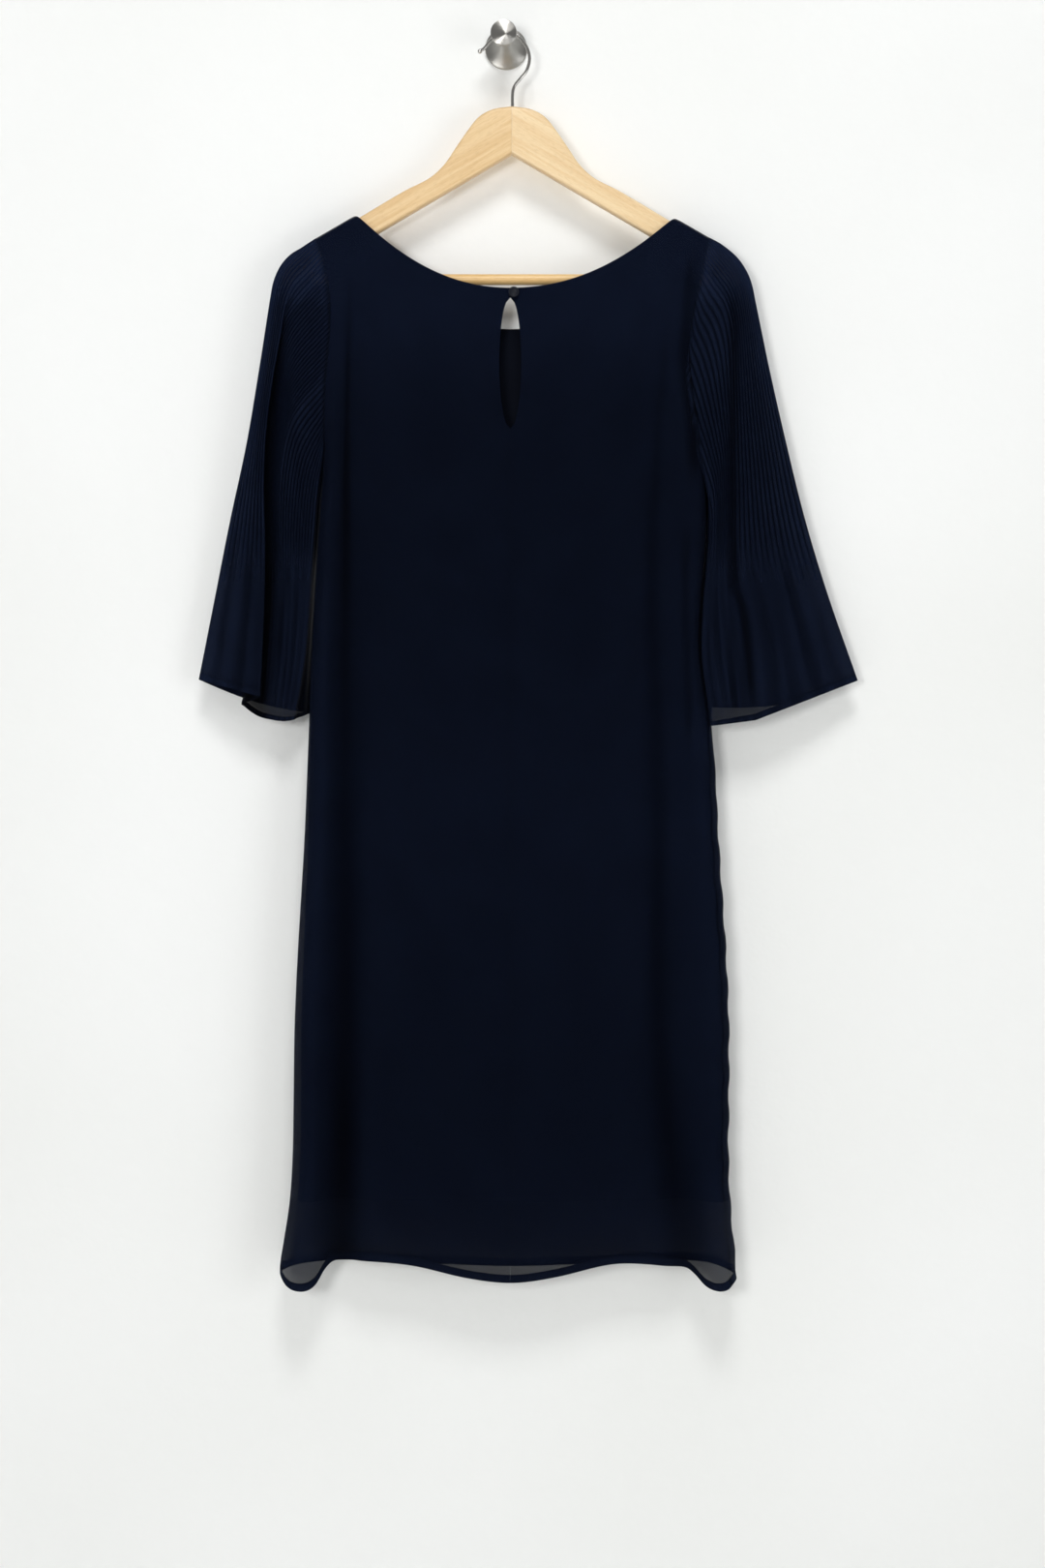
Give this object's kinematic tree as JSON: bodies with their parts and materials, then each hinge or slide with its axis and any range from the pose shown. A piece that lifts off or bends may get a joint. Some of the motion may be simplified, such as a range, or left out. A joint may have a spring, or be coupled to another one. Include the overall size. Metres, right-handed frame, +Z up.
{
  "type": "shift dress on a hanger",
  "caption": "Navy shift dress with a keyhole back and flared pleated three-quarter sleeves, hung on a wooden hanger from a round wall knob.",
  "frame": {"origin": "centre of the wall knob's flat back, on the wall's face", "axes": "+Z up, +Y into the wall, +X to the viewer's right when the dress's back is seen"},
  "size_m": [0.6227, 0.066, 1.1919],
  "materials": {
    "outer_cloth": "sheer matte chiffon, dark navy",
    "lining_cloth": "opaque soft satin lining, dark navy",
    "button": "dark navy, slightly glossy",
    "pale_wood": "pale beech, satin lacquer",
    "golden_wood": "golden beech dowel, satin lacquer",
    "bright_steel": "bright wire",
    "brushed_steel": "turned and brushed in rings"
  },
  "bodies": {
    "root": {"back_left": "outer_cloth", "back_right": "outer_cloth", "front": "outer_cloth", "lining_back_left": "lining_cloth", "lining_back_right": "lining_cloth", "lining_front": "lining_cloth", "sleeve_left": "outer_cloth", "sleeve_right": "outer_cloth", "button": "button", "button_loop": "outer_cloth", "hanger_arm_left": "pale_wood", "hanger_arm_right": "pale_wood", "hanger_bar": "golden_wood", "hanger_hook": "bright_steel", "wall_hook": "brushed_steel"}
  },
  "joints": []
}
